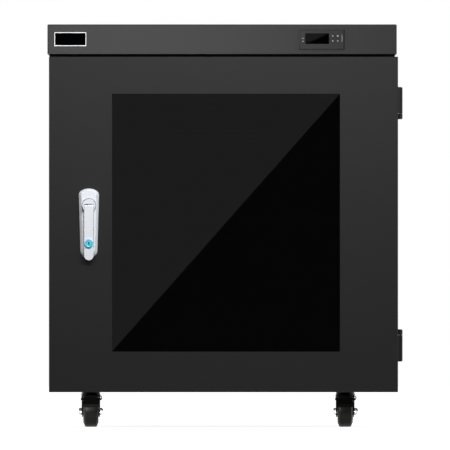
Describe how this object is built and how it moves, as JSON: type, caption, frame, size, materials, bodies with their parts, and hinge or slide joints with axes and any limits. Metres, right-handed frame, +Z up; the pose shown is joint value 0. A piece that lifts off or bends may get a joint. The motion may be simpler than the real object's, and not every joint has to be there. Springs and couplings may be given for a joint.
{
  "type": "drying cabinet",
  "caption": "Upright steel drying cabinet for 3-D printing filament, with a glazed hinged door, swing handle, control head, shelves, dryer unit and swivel casters.",
  "frame": {"origin": "on the floor, under the middle of the object's whole box (cabinet, door, hinges and handle)", "axes": "+Z up, -Y the front with the door and the controls, +X the hinge side, to the viewer's right"},
  "size_m": [0.6084, 0.5276, 0.69],
  "materials": {
    "door_paint": "fine-grained black powder coat",
    "head_paint": "fine-grained dark grey powder coat",
    "body_paint": "fine-grained black powder coat",
    "inside_paint": "smooth dark powder coat",
    "zinc_plate": "bright zinc-plated steel",
    "handle_cast": "satin silver lacquer on a zinc casting",
    "black_plastic": "fine-textured black moulding",
    "caster_black": "semi-gloss black coat",
    "wheel_nylon": "satin black nylon with a rounded tread",
    "seal_rubber": "soft black rubber",
    "tinted_glass": "dark tinted tempered glass",
    "display_black": "polished black display window",
    "badge_silver": "satin silver frame round a bare black field",
    "lock_cyan": "cyan moulded ring",
    "grey_plastic": "light grey moulding",
    "desiccant": "pressed zeolite block",
    "button_plastic": "dark button cap"
  },
  "bodies": {
    "cabinet": {"left_side": "body_paint", "right_side": "body_paint", "floor_pan": "inside_paint", "ceiling_pan": "inside_paint", "back_panel": "body_paint", "top_rail": "body_paint", "bottom_sill": "body_paint", "control_head": "head_paint", "shelf_uprights": "zinc_plate", "shelf_clips": "zinc_plate", "upper_shelf": "inside_paint", "lower_shelf": "inside_paint", "dryer_case": "black_plastic", "dryer_grille": "black_plastic", "desiccant_pack": "desiccant", "sensor_probe": "grey_plastic", "controller_body": "black_plastic", "controller_bezel": "black_plastic", "display_lens": "display_black", "badge_plate": "badge_silver", "power_inlet": "black_plastic", "power_supply": "zinc_plate", "cabinet_screws": "zinc_plate", "caster_plates": "caster_black", "caster_bolts": "zinc_plate", "hinge_brackets": "door_paint", "hinge_pins": "zinc_plate"},
    "door": {"door_pan": "door_paint", "window_seal": "seal_rubber", "window_glass": "tinted_glass", "glass_retainer": "zinc_plate", "door_gasket": "seal_rubber", "hinge_blocks": "door_paint", "door_screws": "zinc_plate", "lock_dish": "handle_cast"},
    "spindle": {"handle_boss": "handle_cast", "latch_tongue": "zinc_plate", "tongue_nut": "zinc_plate"},
    "lever": {"handle_lever": "handle_cast", "lever_pin": "zinc_plate", "lock_sleeve": "lock_cyan"},
    "key_core": {"lock_core": "zinc_plate"},
    "button_top_left": {"button_top_left": "button_plastic"},
    "button_top_right": {"button_top_right": "button_plastic"},
    "button_low_left": {"button_low_left": "button_plastic"},
    "button_low_right": {"button_low_right": "button_plastic"},
    "front_left_caster": {"front_left_fork": "caster_black", "front_left_axle": "zinc_plate"},
    "front_left_roller": {"front_left_wheel": "wheel_nylon"},
    "front_left_brake": {"front_left_pedal": "caster_black"},
    "front_right_caster": {"front_right_fork": "caster_black", "front_right_axle": "zinc_plate"},
    "front_right_roller": {"front_right_wheel": "wheel_nylon"},
    "front_right_brake": {"front_right_pedal": "caster_black"},
    "rear_left_caster": {"rear_left_fork": "caster_black", "rear_left_axle": "zinc_plate"},
    "rear_left_roller": {"rear_left_wheel": "wheel_nylon"},
    "rear_right_caster": {"rear_right_fork": "caster_black", "rear_right_axle": "zinc_plate"},
    "rear_right_roller": {"rear_right_wheel": "wheel_nylon"}
  },
  "joints": [
    {"name": "door_swing", "type": "hinge", "parent": "cabinet", "child": "door", "pos_m": [0.3003, -0.23035, 0.3473], "axis": [0, 0, 1], "range_deg": [0, 170]},
    {"name": "handle_turn", "type": "hinge", "parent": "door", "child": "spindle", "pos_m": [-0.2331, -0.24235, 0.3795], "axis": [0, -1, 0], "range_deg": [0, 90]},
    {"name": "lever_lift", "type": "hinge", "parent": "spindle", "child": "lever", "pos_m": [-0.2331, -0.2579, 0.3788], "axis": [-1, 0, 0], "range_deg": [0, 40]},
    {"name": "key_turn", "type": "hinge", "parent": "lever", "child": "key_core", "pos_m": [-0.2331, -0.25935, 0.3148], "axis": [0, -1, 0], "range_deg": [0, 90]},
    {"name": "top_left_press", "type": "slide", "parent": "cabinet", "child": "button_top_left", "axis": [0, 1, 0], "range_m": [0, 0.0008], "stiffness_N_per_m": 400},
    {"name": "top_right_press", "type": "slide", "parent": "cabinet", "child": "button_top_right", "axis": [0, 1, 0], "range_m": [0, 0.0008], "stiffness_N_per_m": 400},
    {"name": "low_left_press", "type": "slide", "parent": "cabinet", "child": "button_low_left", "axis": [0, 1, 0], "range_m": [0, 0.0008], "stiffness_N_per_m": 400},
    {"name": "low_right_press", "type": "slide", "parent": "cabinet", "child": "button_low_right", "axis": [0, 1, 0], "range_m": [0, 0.0008], "stiffness_N_per_m": 400},
    {"name": "front_left_swivel", "type": "hinge", "parent": "cabinet", "child": "front_left_caster", "pos_m": [-0.23, -0.15835, 0.06], "axis": [0, 0, 1], "continuous": true},
    {"name": "front_left_roll", "type": "hinge", "parent": "front_left_caster", "child": "front_left_roller", "pos_m": [-0.23, -0.18035, 0.025], "axis": [1, 0, 0], "continuous": true},
    {"name": "front_left_brake_press", "type": "hinge", "parent": "front_left_caster", "child": "front_left_brake", "pos_m": [-0.23, -0.19785, 0.048], "axis": [1, 0, 0], "range_deg": [0, 10]},
    {"name": "front_right_swivel", "type": "hinge", "parent": "cabinet", "child": "front_right_caster", "pos_m": [0.206, -0.15835, 0.06], "axis": [0, 0, 1], "continuous": true},
    {"name": "front_right_roll", "type": "hinge", "parent": "front_right_caster", "child": "front_right_roller", "pos_m": [0.206, -0.18035, 0.025], "axis": [1, 0, 0], "continuous": true},
    {"name": "front_right_brake_press", "type": "hinge", "parent": "front_right_caster", "child": "front_right_brake", "pos_m": [0.206, -0.19785, 0.048], "axis": [1, 0, 0], "range_deg": [0, 10]},
    {"name": "rear_left_swivel", "type": "hinge", "parent": "cabinet", "child": "rear_left_caster", "pos_m": [-0.2326, 0.20465, 0.06], "axis": [0, 0, 1], "continuous": true},
    {"name": "rear_left_roll", "type": "hinge", "parent": "rear_left_caster", "child": "rear_left_roller", "pos_m": [-0.2326, 0.18265, 0.025], "axis": [1, 0, 0], "continuous": true},
    {"name": "rear_right_swivel", "type": "hinge", "parent": "cabinet", "child": "rear_right_caster", "pos_m": [0.2086, 0.20465, 0.06], "axis": [0, 0, 1], "continuous": true},
    {"name": "rear_right_roll", "type": "hinge", "parent": "rear_right_caster", "child": "rear_right_roller", "pos_m": [0.2086, 0.18265, 0.025], "axis": [1, 0, 0], "continuous": true}
  ]
}
